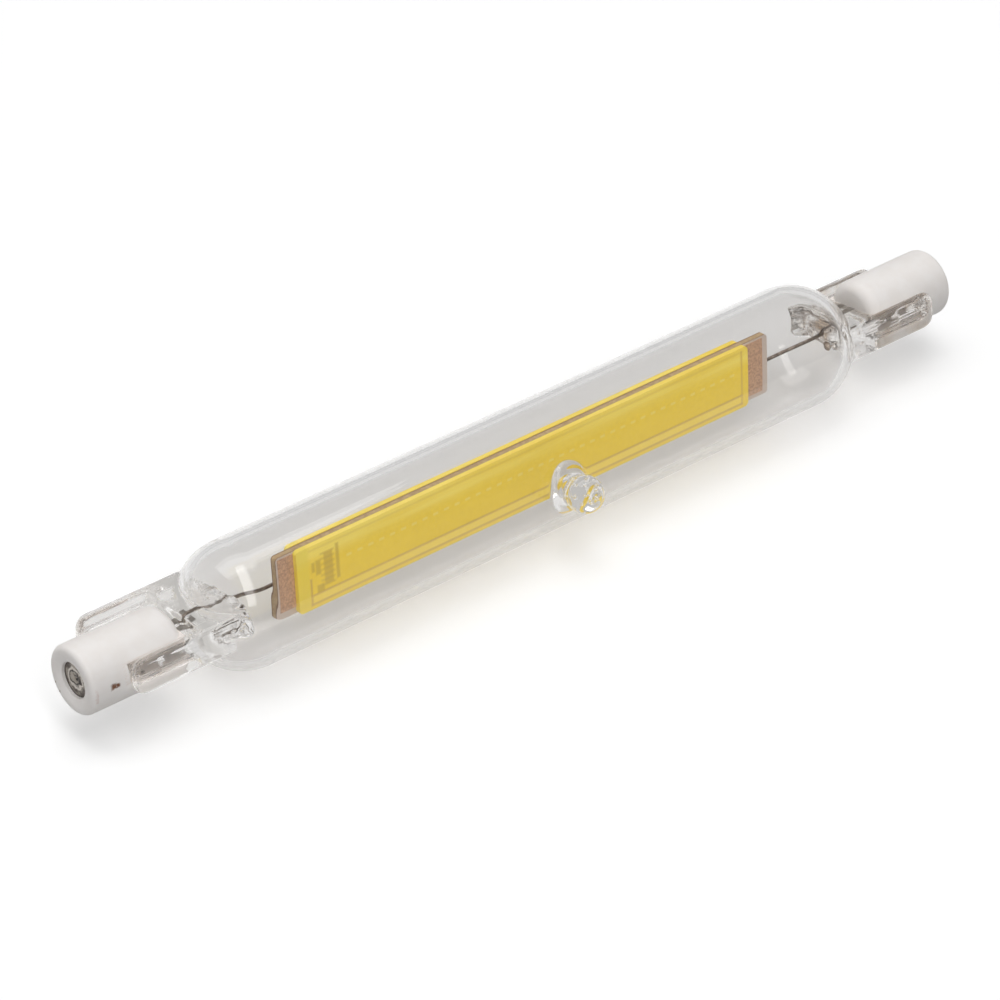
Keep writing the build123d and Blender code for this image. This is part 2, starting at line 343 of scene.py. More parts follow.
def spun(outline, steps=RING_STEPS):
    """Closed turned solid about X from (along, radius) points that start and end on the axis."""
    bm = bmesh.new()
    points = [bm.verts.new((along, 0, radius)) for along, radius in outline]
    edges = [bm.edges.new(pair) for pair in zip(points, points[1:])]
    bmesh.ops.spin(
        bm,
        geom=points + edges,
        cent=(0, 0, 0),
        axis=(1, 0, 0),
        angle=2 * pi,
        steps=steps,
        use_merge=True,
    )
    bmesh.ops.remove_doubles(bm, verts=bm.verts, dist=0.0001)
    bmesh.ops.recalc_face_normals(bm, faces=bm.faces)
    if bm.calc_volume(signed=True) < 0:
        bmesh.ops.reverse_faces(bm, faces=bm.faces)
    return bm


def arc(centre, radius, start, end, steps):
    """(along, radius) points of a round stretch, from one angle to another in degrees."""
    turns = (radians(start + (end - start) * step / steps) for step in range(steps + 1))
    return [(centre + radius * cos(turn), radius * sin(turn)) for turn in turns]


def rounded_block(x0, x1, y0, y1, z0, z1, edge):
    bm = bmesh.new()
    bmesh.ops.create_cube(bm, size=1.0)
    bmesh.ops.scale(bm, vec=(x1 - x0, y1 - y0, z1 - z0), verts=bm.verts)
    bmesh.ops.translate(bm, vec=((x0 + x1) / 2, (y0 + y1) / 2, (z0 + z1) / 2), verts=bm.verts)
    if edge:
        bevel(bm, bm.edges[:], edge, 4)
    return bm


def bevel(bm, edges, width, segments):
    bmesh.ops.bevel(
        bm,
        geom=edges,
        offset=width,
        offset_type="OFFSET",
        segments=segments,
        profile=0.5,
        affect="EDGES",
        material=-1,
        clamp_overlap=True,
    )


def rod(radius, x0, x1, y, z):
    bm = bmesh.new()
    bmesh.ops.create_cone(
        bm, cap_ends=True, segments=24, radius1=radius, radius2=radius, depth=x1 - x0
    )
    bmesh.ops.rotate(bm, verts=bm.verts, cent=(0, 0, 0), matrix=Matrix.Rotation(pi / 2, 3, "Y"))
    bmesh.ops.translate(bm, vec=((x0 + x1) / 2, y, z), verts=bm.verts)
    return bm


def joined(shapes):
    """One bmesh from several, which stay separate shells."""
    bm = bmesh.new()
    for shape in shapes:
        mesh = bpy.data.meshes.new("part")
        shape.to_mesh(mesh)
        shape.free()
        bm.from_mesh(mesh)
        bpy.data.meshes.remove(mesh)
    return bm


def to_side(bm, seal):
    """Shapes are drawn along +X and mirrored for the left end."""
    if seal["side"] < 0:
        bmesh.ops.scale(bm, vec=(-1, 1, 1), verts=bm.verts)
        bmesh.ops.reverse_faces(bm, faces=bm.faces)
    return bm


def at_seal(bm, seal):
    to_side(bm, seal)
    twist = Matrix.Rotation(radians(seal["twist"]), 3, "X")
    bmesh.ops.rotate(bm, verts=bm.verts, cent=(0, 0, 0), matrix=twist)
    bmesh.ops.translate(bm, vec=(0, 0, seal["lift"]), verts=bm.verts)
    return bm


def at_cap(bm, seal):
    to_side(bm, seal)
    bmesh.ops.translate(bm, vec=(0, 0, seal["cap_lift"]), verts=bm.verts)
    return bm


def at_tip(bm):
    """Turned shapes drawn along +X go out along the tip's own axis, towards -Y and a little up."""
    bmesh.ops.rotate(bm, verts=bm.verts, cent=(0, 0, 0), matrix=Matrix.Rotation(-pi / 2, 3, "Z"))
    tilt = Matrix.Rotation(radians(-TIP_TURN), 3, "X")
    bmesh.ops.rotate(bm, verts=bm.verts, cent=(0, 0, 0), matrix=tilt)
    return bm


def remeshed(shapes, cell):
    """The one skin round shapes that overlap, in even cells."""
    obj = scrap(joined(shapes), "clay")
    remesh = obj.modifiers.new("cells", "REMESH")
    remesh.mode = "VOXEL"
    remesh.voxel_size = cell
    return settled(obj)


def cut_from(bm, cutters):
    """Takes closed shapes out of a closed shape."""
    obj = scrap(bm, "stock")
    tools = [scrap(cutter, "cutter") for cutter in cutters]
    for tool in tools:
        cut = obj.modifiers.new("cut", "BOOLEAN")
        cut.operation = "DIFFERENCE"
        cut.solver = "EXACT"
        cut.object = tool
    result = settled(obj)
    for tool in tools:
        remove_scrap(tool)
    return result


def pressed_seal(seal):
    """Two ribs with a web between them, beads on the web, and the solid root under the shoulder."""
    low, high = -RIB_HALF_HEIGHT, RIB_HALF_HEIGHT
    web_end = RIB_END - RIB_EDGE
    web_half_width = RIB_OUTER - RIB_EDGE
    shapes = [
        rounded_block(SEAL_START, POCKET_START, -RIB_OUTER, RIB_OUTER, low, high, RIB_EDGE),
        rounded_block(SEAL_START, web_end, -web_half_width, web_half_width, -WEB_HALF, WEB_HALF, WEB_EDGE),
    ]
    for y0, y1 in ((-RIB_OUTER, -RIB_INNER), (RIB_INNER, RIB_OUTER)):
        rib = rounded_block(SEAL_START, RIB_END, y0, y1, low, high, 0)
        tip = [edge for edge in rib.edges if all(vert.co.x > RIB_END - CELL for vert in edge.verts)]
        nose = [edge for edge in tip if abs(edge.verts[0].co.y - edge.verts[1].co.y) > CELL]
        bevel(rib, nose, RIB_NOSE, NOSE_ROUND)
        sharp = [edge for edge in rib.edges if edge.calc_face_angle() > radians(30)]
        bevel(rib, sharp, RIB_EDGE, RIB_ROUND)
        shapes.append(rib)
    for y in (-BEAD_OFFSET, BEAD_OFFSET):
        for z in (-BEAD_RISE, BEAD_RISE):
            shapes.append(rod(BEAD_RADIUS, BEAD_START, BEAD_END, y, z))
    return [at_seal(shape, seal) for shape in shapes]


def tongue(name):
    """The rounded mass of glass that the press leaves round the lead, inside the tube."""
    start, depth, half_width, shift = TONGUES[name]
    bm = bmesh.new()
    bmesh.ops.create_cone(
        bm, cap_ends=True, segments=64, radius1=half_width, radius2=half_width, depth=2 * TONGUE_HALF
    )
    rims = [edge for edge in bm.edges if abs(edge.verts[0].co.z - edge.verts[1].co.z) < TONGUE_HALF]
    bevel(bm, rims, TONGUE_EDGE, 3)
    bmesh.ops.scale(bm, vec=(depth / half_width, 1, 1), verts=bm.verts)
    bmesh.ops.translate(bm, vec=(start + depth, shift, 0), verts=bm.verts)
    return at_seal(bm, SEALS[name])


def lump(x, y, z, radius):
    bm = bmesh.new()
    bmesh.ops.create_icosphere(bm, subdivisions=3, radius=radius)
    bmesh.ops.translate(bm, vec=(x, y, z), verts=bm.verts)
    return bm


def lip(seal):
    """The straight edge of the pressed glass, behind the tongue."""
    block = rounded_block(
        LIP_FRONT, POCKET_START, -LIP_HALF_WIDTH, LIP_HALF_WIDTH, -TONGUE_HALF, TONGUE_HALF, TONGUE_EDGE
    )
    return at_seal(block, seal)


def bubble(x, y, z, radius):
    """A small closed hollow, longer along the lamp, where the glass was drawn out."""
    bm = bmesh.new()
    bmesh.ops.create_icosphere(bm, subdivisions=2, radius=radius)
    bmesh.ops.scale(bm, vec=BUBBLE_STRETCH, verts=bm.verts)
    bmesh.ops.translate(bm, vec=(x, y, z), verts=bm.verts)
    bmesh.ops.reverse_faces(bm, faces=bm.faces)
    return bm


def tip_outside():
    join = TIP_BALL_CENTRE - sqrt(TIP_BALL_RADIUS**2 - TIP_NECK_RADIUS**2)
    outline = [
        (TIP_FOOT_START, 0),
        (TIP_FOOT_START, TIP_FOOT_RADIUS),
        (TIP_FLARE_START, TIP_FLARE_RADIUS),
        (TIP_NECK_START, TIP_NECK_RADIUS),
        (join, TIP_NECK_RADIUS),
        *arc(TIP_BALL_CENTRE, TIP_BALL_RADIUS, 110, 0, 12)[1:-1],
        (TIP_BALL_CENTRE + TIP_BALL_RADIUS, 0),
    ]
    return at_tip(spun(outline, 64))


def tip_bore():
    outline = [
        (TIP_BORE_START, 0),
        (TIP_BORE_START, TIP_BORE_RADIUS),
        (TIP_BORE_END - TIP_BORE_RADIUS, TIP_BORE_RADIUS),
        *arc(TIP_BORE_END - TIP_BORE_RADIUS, TIP_BORE_RADIUS, 60, 0, 3)[:-1],
        (TIP_BORE_END, 0),
    ]
    return at_tip(spun(outline, 32))


def tube_outside():
    right = arc(TUBE_END, TUBE_RADIUS, 90, 0, 24)
    right[-1] = (TUBE_END + TUBE_RADIUS, 0)
    left = [(-along, radius) for along, radius in reversed(right)]
    return spun(left + right)


def tube_inside():
    end = arc(0, 1.0, 90, 0, 16)
    right = [(TUBE_END + BORE_DEPTH * along, BORE_RADIUS * radius) for along, radius in end]
    right[-1] = (TUBE_END + BORE_DEPTH, 0)
    left = [(-along, radius) for along, radius in reversed(right)]
    return spun(left + right)


def soften(bm, turns):
    for _ in range(turns):
        bmesh.ops.smooth_vert(
            bm, verts=bm.verts, factor=0.5, use_axis_x=True, use_axis_y=True, use_axis_z=True
        )


def draw_true(bm, radius):
    """Brings the blown glass back to its round form, and leaves the pressed glass as it melted."""
    fade = DRAWN_PARTLY - DRAWN_WHOLLY
    for vert in bm.verts:
        axis = Vector((max(-TUBE_END, min(TUBE_END, vert.co.x)), 0, 0))
        out = vert.co - axis
        gap = abs(out.length - radius)
        if gap < DRAWN_PARTLY:
            share = min(1.0, (DRAWN_PARTLY - gap) / fade)
            vert.co = vert.co.lerp(axis + out.normalized() * radius, share)


def straight_runs(bm):
    """Trades the cells of the straight tube for long clean faces between the ends and the tip."""
    for side in (-1, 1):
        near, far = side * STRAIGHT_START, side * STRAIGHT_END
        for along in (near, far):
            geom = bm.verts[:] + bm.edges[:] + bm.faces[:]
            bmesh.ops.bisect_plane(bm, geom=geom, plane_co=(along, 0, 0), plane_no=(1, 0, 0), dist=0.0001)
        low, high = min(near, far), max(near, far)
        between = [face for face in bm.faces if low < face.calc_center_median().x < high]
        bmesh.ops.delete(bm, geom=between, context="FACES")
        rims = [edge for edge in bm.edges if edge.is_boundary]
        bmesh.ops.bridge_loops(bm, edges=rims)
    return bm


def ripple(bm):
    """Slight waves in the pressed glass, where it left the tool and cooled."""
    noise.seed_set(WAVE_SEED)
    for vert in bm.verts:
        share = min(1.0, max(0.0, (abs(vert.co.x) - WAVE_START) / WAVE_FADE))
        if share:
            wave = noise.noise_vector(vert.co / WAVE_SIZE)
            vert.co += wave * (WAVE_DEPTH * share)


def seeds():
    """Fine bubbles inside the ball of the tip, spread by the golden angle."""
    shapes = []
    for step in range(SEED_COUNT):
        share = (step + 0.5) / SEED_COUNT
        turn = step * pi * (3 - sqrt(5))
        level = 1 - 2 * share
        reach = SEED_REACH * (SEED_NEAREST + (1 - SEED_NEAREST) * ((step * 7) % 5) / 4)
        flat = reach * sqrt(1 - level * level)
        along = TIP_BALL_CENTRE + reach * level
        shape = bubble(along, flat * cos(turn), flat * sin(turn), SEED_RADIUS * (1 + (step % 3) * 0.4))
        shapes.append(at_tip(shape))
    return shapes


def glass_body():
    outside = [tube_outside(), tip_outside()]
    tongues = []
    for name, seal in SEALS.items():
        outside += pressed_seal(seal)
        tongues.append(tongue(name))
        tongues += [lump(*place) for place in LUMPS[name]]
    tongues.append(lip(SEALS["left"]))
    skin = remeshed(outside, CELL)
    soften(skin, MELT_TURNS)
    draw_true(skin, TUBE_RADIUS)
    ripple(skin)
    straight_runs(skin)
    hollow = remeshed([cut_from(tube_inside(), tongues), tip_bore()], CELL)
    soften(hollow, MELT_TURNS)
    draw_true(hollow, BORE_RADIUS)
    straight_runs(hollow)
    bmesh.ops.recalc_face_normals(skin, faces=skin.faces)
    bmesh.ops.recalc_face_normals(hollow, faces=hollow.faces)
    bmesh.ops.reverse_faces(hollow, faces=hollow.faces)
    return joined([skin, hollow, *[bubble(*place) for place in BUBBLES], *seeds()])


def foil(name):
    """Two thin strips side by side in the seal, which carry the current through the glass."""
    shift = FOIL_SHIFT[name]
    low, high = -FOIL_HALF_THICK, FOIL_HALF_THICK
    strips = [
        rounded_block(FOIL_START, FOIL_END, y0 + shift, y1 + shift, low, high, 0) for y0, y1 in FOIL_STRIPS
    ]
    return joined([at_seal(bm, SEALS[name]) for bm in strips])


def ceramic_cap(seal):
    """Turned cap with a rounded front, a dished mouth and a recess, slotted for the seal."""
    step = CAP_END - RECESS_DEPTH
    front = CAP_END - CAP_EDGE
    back = CAP_REAR + CAP_BACK_EDGE
    outline = [
        (CAP_REAR, 0),
        *[(along, CAP_RADIUS - CAP_BACK_EDGE + out) for along, out in arc(back, CAP_BACK_EDGE, 180, 90, 8)],
        *[(along, CAP_RADIUS - CAP_EDGE + out) for along, out in arc(front, CAP_EDGE, 90, 10, 6)],
        (CAP_END, CAP_RIM),
        (CAP_END - RIM_DROP, CAP_RIM - RIM_WIDTH),
        (CAP_END - MOUTH_DEPTH, RECESS_RADIUS + MOUTH_CLEAR),
        (CAP_END - MOUTH_DEPTH - MOUTH_CHAMFER, RECESS_RADIUS),
        (step, RECESS_RADIUS),
        (step - SEAT_DEPTH, SEAT_RADIUS),
        (step - SEAT_DEPTH, 0),
    ]
    cap = at_cap(spun(outline, 96), seal)
    wide = 2 * CAP_RADIUS
    slot = rounded_block(CAP_REAR - SLOT_PAST, SLOT_FLOOR, -wide, wide, -SLOT_HALF, SLOT_HALF, 0)
    return cut_from(cap, [at_seal(slot, seal)])


def lead(name):
    """Round wire along its bends, smooth at each of them."""
    points = LEADS[name]
    curve = bpy.data.curves.new(name, "CURVE")
    curve.dimensions = "3D"
    curve.bevel_depth = LEAD_RADIUS
    curve.bevel_resolution = 4
    curve.use_fill_caps = True
    spline = curve.splines.new("NURBS")
    spline.points.add(len(points) - 1)
    for control, point in zip(spline.points, points):
        control.co = (*point, 1)
    spline.order_u = 3
    spline.use_endpoint_u = True
    spline.resolution_u = 8
    obj = bpy.data.objects.new(name, curve)
    bpy.context.scene.collection.objects.link(obj)
    graph = bpy.context.evaluated_depsgraph_get()
    mesh = bpy.data.meshes.new_from_object(obj.evaluated_get(graph))
    bpy.data.objects.remove(obj)
    bm = bmesh.new()
    bm.from_mesh(mesh)
    bpy.data.meshes.remove(mesh)
    bmesh.ops.remove_doubles(bm, verts=bm.verts, dist=0.0001)
    bmesh.ops.recalc_face_normals(bm, faces=bm.faces)
    return bm


# Finishes


def tone(red, green, blue):
    """A colour written as it shows, from 0 to 255, as the shader needs it."""
    parts = [level / 255 for level in (red, green, blue)]
    linear = [part / 12.92 if part < 0.04045 else ((part + 0.055) / 1.055) ** 2.4 for part in parts]
    return (*linear, 1.0)


GLASS_TINT = tone(244, 243, 242)
GLASS_FUME = tone(228, 217, 204)
GLASS_ROOT = tone(148, 123, 99)
# Colour of the painted glow of the glass
GLASS_PAINTED_GLOW = tone(226, 224, 220)
GLASS_SHADE = tone(214, 211, 207)
CERAMIC_WHITE = tone(250, 246, 243)
CERAMIC_WARM = tone(247, 242, 238)
METAL_WORN = tone(160, 152, 142)
METAL_STAINED = tone(80, 71, 64)
# Painted shade in the pit in the middle of each contact
PIT_SHADE = tone(26, 23, 22)
METAL_RIM = tone(70, 62, 56)
CORE_LIGHT = tone(208, 180, 138)
CORE_DARK = tone(184, 154, 112)
OUTER_LAYER = tone(150, 118, 90)
SOLDER_MASK = tone(222, 205, 192)
PHOSPHOR_LIGHT = tone(240, 208, 62)
PHOSPHOR_DARK = tone(234, 201, 56)
# Colour of the painted glow of the phosphor
PHOSPHOR_PAINTED_GLOW = tone(255, 222, 60)
# Painted sheen along the top of the phosphor
PAINTED_SHEEN = tone(246, 226, 112)
PALE_LOW = tone(240, 214, 92)
OVER_PAD = tone(222, 206, 74)
OVER_TRACK = tone(198, 158, 80)
OVER_PART = tone(170, 134, 60)
OVER_CHIP = tone(240, 226, 140)
OVER_PIN = tone(176, 140, 64)

# Rings pressed into each contact, shown as a painted highlight and a painted shade: radius, where the ring
# fades out, where it is full, and tone
PAINTED_RINGS = (
    # painted highlight on the crest of the outer ring
    (1.9, 0.2, 0.05, tone(205, 198, 190)),
    # painted shade in the crease round the pit
    (1.55, 0.14, 0.04, tone(44, 38, 34)),
)

# Marks on the left cap: middle, half size, how strong, and tone
MARKS = (
    ((-54.95, -3.75, 0.3), (0.48, 0.6, 0.26), 1.0, tone(120, 76, 48)),
    ((-55.3, -3.75, 0.1), (0.15, 0.6, 0.12), 0.6, tone(150, 110, 84)),
    ((-57.1, -3.6, -0.1), (0.1, 0.9, 0.8), 0.4, tone(206, 172, 160)),
    ((-57.5, 2.75, -1.5), (0.5, 0.1, 0.1), 0.8, tone(140, 108, 88)),
    ((-57.5, 2.1, -2.3), (0.5, 0.12, 0.1), 0.7, tone(150, 118, 98)),
)
MARK_SCATTER = (0.5, 0.0, 0.5)
MARK_SOFT = 0.2

# Printed lines under the phosphor: left, right, bottom, top, and how strong they show
PRINTED_LINES = (
    (TRACK_LEFT, TRACK_RIGHT, TRACK_TOP - TRACK_WIDTH, TRACK_TOP, 0.25),
    (TRACK_LEFT, TRACK_RIGHT, TRACK_BOTTOM, TRACK_BOTTOM + TRACK_WIDTH, 0.9),
    (TRACK_LEFT, TRACK_RIGHT, RETURN_TRACK_Z - TRACK_WIDTH, RETURN_TRACK_Z, 0.9),
    (TRACK_LEFT, TRACK_LEFT + TRACK_WIDTH, TRACK_BOTTOM, 0.0, 0.9),
    (TRACK_RIGHT - TRACK_WIDTH, TRACK_RIGHT, TRACK_BOTTOM, TRACK_TOP, 0.7),
)

# The colour sockets of a Mix node share their names with others, so they go by number
MIX_SHARE = 0
MIX_FIRST = 6
MIX_SECOND = 7
MIX_RESULT = 2


class Wiring:
    """A node tree that is being wired: nodes are added by type, with their values and links."""

    def __init__(self, tree):
        self.nodes = tree.nodes
        self.links = tree.links

    def feed(self, socket, value):
        if isinstance(value, bpy.types.NodeSocket):
            self.links.new(value, socket)
        else:
            socket.default_value = value

    def fill(self, node, inputs):
        for name, value in inputs.items():
            self.feed(node.inputs[name.replace("_", " ")], value)

    def node(self, kind, **inputs):
        node = self.nodes.new(kind)
        self.fill(node, inputs)
        return node

    def worked_out(self, kind, operation, values):
        node = self.nodes.new(kind)
        node.operation = operation
        for socket, value in zip(node.inputs, values):
            self.feed(socket, value)
        return node

    def step(self, operation, *values):
        return self.worked_out("ShaderNodeMath", operation, values).outputs[0]

    def vector_step(self, operation, *values):
        return self.worked_out("ShaderNodeVectorMath", operation, values).outputs[0]

    def length(self, vector):
        return self.worked_out("ShaderNodeVectorMath", "LENGTH", (vector,)).outputs["Value"]

    def spread(self, value, low, high, first, last):
        """From first to last, as the value goes from low to high."""
        node = self.node(
            "ShaderNodeMapRange", Value=value, From_Min=low, From_Max=high, To_Min=first, To_Max=last
        )
        return node.outputs["Result"]


class Finish(Wiring):
    """The nodes of a material, round its own shader."""

    def __init__(self, name):
        self.material = bpy.data.materials.new(name)
        self.material.use_nodes = True
        super().__init__(self.material.node_tree)
        self.shader = self.nodes["Principled BSDF"]
        self.out = self.nodes["Material Output"]
        self.place = self.nodes.new("ShaderNodeTexCoord").outputs["Object"]

    def set(self, **inputs):
        self.fill(self.shader, inputs)

    def stretched(self, scale):
        """Places on the piece, scaled along each axis."""
        return self.node("ShaderNodeMapping", Vector=self.place, Scale=scale).outputs[0]

    def noise(self, scale, detail=4.0, roughness=0.5):
        node = self.node(
            "ShaderNodeTexNoise", Vector=self.place, Scale=scale, Detail=detail, Roughness=roughness
        )
        return node.outputs["Fac"]

    def streaks(self, scale):
        """Noise drawn out along the lamp, from its own scale on each axis."""
        node = self.node("ShaderNodeTexNoise", Vector=self.stretched(scale), Scale=1.0, Detail=3.0)
        return node.outputs["Fac"]

    def ramp(self, value, low, high):
        """From none to full with soft ends, as the value goes from low to high."""
        node = self.node("ShaderNodeMapRange", Value=value, From_Min=low, From_Max=high)
        node.interpolation_type = "SMOOTHSTEP"
        return node.outputs["Result"]

    def mix(self, share, first, second):
        node = self.nodes.new("ShaderNodeMix")
        node.data_type = "RGBA"
        for index, value in ((MIX_SHARE, share), (MIX_FIRST, first), (MIX_SECOND, second)):
            self.feed(node.inputs[index], value)
        return node.outputs[MIX_RESULT]

    def paint(self, colour, mask, share, over):
        """The colour, with a share of another one over it where the mask is."""
        return self.mix(self.step("MULTIPLY", mask, share), colour, over)

    def bump(self, height, distance, strength=1.0):
        """Relief of a height; the distance is in millimetres."""
        node = self.node("ShaderNodeBump", Height=height, Distance=distance * MM, Strength=strength)
        return node.outputs["Normal"]


def soft_box_group():
    """Mask of a box with soft edges; all of its sizes are in millimetres."""
    group = bpy.data.node_groups.new("soft_box", "ShaderNodeTree")
    for name in ("Place", "Middle", "Half"):
        group.interface.new_socket(name, in_out="INPUT", socket_type="NodeSocketVector")
    group.interface.new_socket("Soft", in_out="INPUT", socket_type="NodeSocketFloat")
    group.interface.new_socket("Mask", in_out="OUTPUT", socket_type="NodeSocketFloat")
    wiring = Wiring(group)
    given = group.nodes.new("NodeGroupInput").outputs
    result = group.nodes.new("NodeGroupOutput")
    apart = wiring.vector_step("SUBTRACT", given["Place"], given["Middle"])
    size = wiring.vector_step("ABSOLUTE", apart)
    over = wiring.vector_step("SUBTRACT", size, given["Half"])
    split = wiring.node("ShaderNodeSeparateXYZ", Vector=over).outputs
    farthest = wiring.step("MAXIMUM", split["X"], split["Z"])
    farthest = wiring.step("MAXIMUM", farthest, split["Y"])
    inside = wiring.step("SUBTRACT", 0.5, wiring.step("DIVIDE", farthest, given["Soft"]))
    held = wiring.step("MINIMUM", inside, 1.0)
    held = wiring.step("MAXIMUM", held, 0.0)
    group.links.new(held, result.inputs["Mask"])
    return group


SOFT_BOX = soft_box_group()


def soft_box(look, place, middle, half, soft):
    node = look.nodes.new("ShaderNodeGroup")
    node.node_tree = SOFT_BOX
    look.fill(node, {"Place": place, "Middle": middle, "Half": half, "Soft": soft})
    return node.outputs["Mask"]


def strip(look, place, x0, x1, z0, z1, soft):
    """A soft box that goes right through the board."""
    middle = ((x0 + x1) / 2, 0, (z0 + z1) / 2)
    return soft_box(look, place, middle, ((x1 - x0) / 2, THROUGH_BOARD, (z1 - z0) / 2), soft)


def board_place(look):
    """Places on the piece, in millimetres, in the leaning board's own frame."""
    lean = radians(-BOARD_LEAN)
    back = Matrix.Rotation(lean, 3, "X") @ Vector((0, 0, -BOARD_DROP))
    node = look.node(
        "ShaderNodeMapping", Vector=look.place, Location=back, Rotation=(lean, 0, 0), Scale=MILLIMETRES
    )
    return node.outputs[0]


def dashes(look, value, first, pitch, half):
    """Mask of short marks at an even pitch along a value in millimetres."""
    shifted = look.step("SUBTRACT", value, first)
    phase = look.step("WRAP", shifted, pitch / 2, -pitch / 2)
    return look.ramp(look.step("ABSOLUTE", phase), half + DASH_SOFT, half - DASH_SOFT)


def clear_glass():
    """Clear glass that lets lamps through, with a faint brown fume where the seals were pressed.

    Light that has turned LONG_WAY times, and the pressed glass, get a faint painted glow, which stands in
    for the light lost there and lifts the dark parts.
    """
    look = Finish("clear_glass")
    path = look.nodes.new("ShaderNodeLightPath").outputs
    across = look.node("ShaderNodeSeparateXYZ", Vector=look.place).outputs["X"]
    along = look.step("ABSOLUTE", across)
    rightward = look.ramp(across, FUME_LEFT * MM, FUME_RIGHT * MM)
    patch = look.ramp(look.noise(420, 5, 0.6), 0.4, 0.7)
    fume = look.step("MULTIPLY", look.ramp(along, FUME_START * MM, FUME_FULL * MM), patch)
    fume = look.step("MULTIPLY", fume, rightward)
    tint = look.mix(fume, GLASS_TINT, GLASS_FUME)
    root = soft_box(look, look.stretched(MILLIMETRES), ROOT_MIDDLE, ROOT_HALF, ROOT_SOFT)
    tint = look.mix(root, tint, GLASS_ROOT)
    pressed = look.ramp(along, PRESSED_START * MM, PRESSED_FULL * MM)
    height = look.step("MULTIPLY", look.streaks(PRESSED_STREAKS), pressed)
    # Painted glow: where light has turned LONG_WAY times, and in the pressed glass, more of it at the left
    trapped = look.step("GREATER_THAN", path["Ray Depth"], LONG_WAY - 0.5)
    trapped = look.step("MULTIPLY", trapped, TRAPPED_GLOW)
    leftward = look.step("SUBTRACT", 1.0, rightward)
    pressed_glow = look.step("MULTIPLY_ADD", leftward, LEFT_PAINTED_GLOW, PRESSED_PAINTED_GLOW)
    pressed_glow = look.step("MULTIPLY", pressed_glow, pressed)
    look.set(
        Base_Color=tint,
        Roughness=0.0,
        IOR=GLASS_INDEX,
        Transmission_Weight=1.0,
        Emission_Color=GLASS_PAINTED_GLOW,
        Emission_Strength=look.step("ADD", trapped, pressed_glow),
        Normal=look.bump(height, 0.08),
    )
    through = look.node("ShaderNodeBsdfTransparent", Color=GLASS_SHADE)
    blend = look.nodes.new("ShaderNodeMixShader")
    blended = (path["Is Shadow Ray"], look.shader.outputs[0], through.outputs[0])
    for socket, value in zip(blend.inputs, blended):
        look.links.new(value, socket)
    look.links.new(blend.outputs[0], look.out.inputs["Surface"])
    return look.material


def mottled(name, first, second, scale, roughness, metallic=0.0):
    """Two tones in soft patches, with a fine grain."""
    look = Finish(name)
    patch = look.ramp(look.noise(scale, 5, 0.65), 0.35, 0.65)
    look.set(
        Base_Color=look.mix(patch, first, second),
        Metallic=metallic,
        Roughness=roughness,
        Normal=look.bump(look.noise(scale * 4, 3), 0.01),
    )
    return look.material


def phosphor(name, parts):
    """Silicone full of yellow phosphor, with what it covers showing through as soft shapes, a painted sheen
    along its top and a painted glow.
    """
    look = Finish(name)
    place = board_place(look)
    grain = look.noise(2600, 4, 0.6)
    colour = look.mix(look.ramp(grain, 0.3, 0.7), PHOSPHOR_LIGHT, PHOSPHOR_DARK)
    # Painted sheen: the upper band of the phosphor is painted lighter, in streaks along the lamp, as a
    # reflection of the lamps on it
    top = strip(look, place, -BOARD_REACH, BOARD_REACH, 1.9, 5.0, 1.1)
    sheen_streaks = look.ramp(look.streaks(SHEEN_STREAKS), 0.2, 0.7)
    colour = look.paint(colour, top, sheen_streaks, PAINTED_SHEEN)
    low = strip(look, place, TRACK_LEFT, TRACK_RIGHT, TRACK_BOTTOM, RETURN_TRACK_Z, 0.15)
    colour = look.paint(colour, low, 0.55, PALE_LOW)
    pad = strip(look, place, PHOSPHOR_LEFT - 1, TRACK_LEFT, -4, 4, 0.5)
    colour = look.paint(colour, pad, 0.5, OVER_PAD)
    for x0, x1, z0, z1, share in PRINTED_LINES:
        mask = strip(look, place, x0, x1, z0, z1, 0.16)
        colour = look.paint(colour, mask, share, OVER_TRACK)
    for x, z, length, height in parts:
        mask = strip(look, place, x - length / 2, x + length / 2, z - height / 2, z + height / 2, 0.22)
        colour = look.paint(colour, mask, 0.6, OVER_PART)
    if parts:
        split = look.node("ShaderNodeSeparateXYZ", Vector=place).outputs
        row = strip(look, place, CHIP_FIRST - 0.5, CHIP_LAST + 0.5, CHIP_Z - 0.14, CHIP_Z + 0.14, 0.14)
        chips = look.step("MULTIPLY", row, dashes(look, split["X"], CHIP_FIRST, CHIP_PITCH, 0.32))
        colour = look.paint(colour, chips, 0.5, OVER_CHIP)
        row = strip(look, place, *IC_PINS, 0.15)
        pins = look.step("MULTIPLY", row, dashes(look, split["Z"], IC_PIN_FIRST, IC_PIN_PITCH, 0.14))
        colour = look.paint(colour, pins, 0.35, OVER_PIN)
    # The phosphor gets a painted glow, which makes it brighter than the lamps alone do
    look.set(
        Base_Color=colour,
        Roughness=0.45,
        Emission_Color=PHOSPHOR_PAINTED_GLOW,
        Emission_Strength=0.2,
        Coat_Weight=0.2,
        Coat_Roughness=0.2,
        Normal=look.bump(grain, 0.02, 0.4),
    )
    return look.material


def laminate():
    """Tan core with a brown layer at each face, and paler solder mask on the faces."""
    look = Finish("board_laminate")
    grain = look.noise(1800, 5, 0.6)
    split = look.node("ShaderNodeSeparateXYZ", Vector=board_place(look)).outputs
    depth = look.step("ABSOLUTE", split["Y"])
    layer = look.ramp(depth, BOARD_HALF_THICK - 0.16, BOARD_HALF_THICK - 0.1)
    face = look.ramp(depth, BOARD_HALF_THICK - 0.012, BOARD_HALF_THICK - 0.004)
    core = look.mix(look.ramp(grain, 0.3, 0.7), CORE_LIGHT, CORE_DARK)
    colour = look.mix(layer, core, OUTER_LAYER)
    colour = look.mix(face, colour, SOLDER_MASK)
    look.set(Base_Color=colour, Roughness=0.55, Normal=look.bump(grain, 0.02))
    return look.material


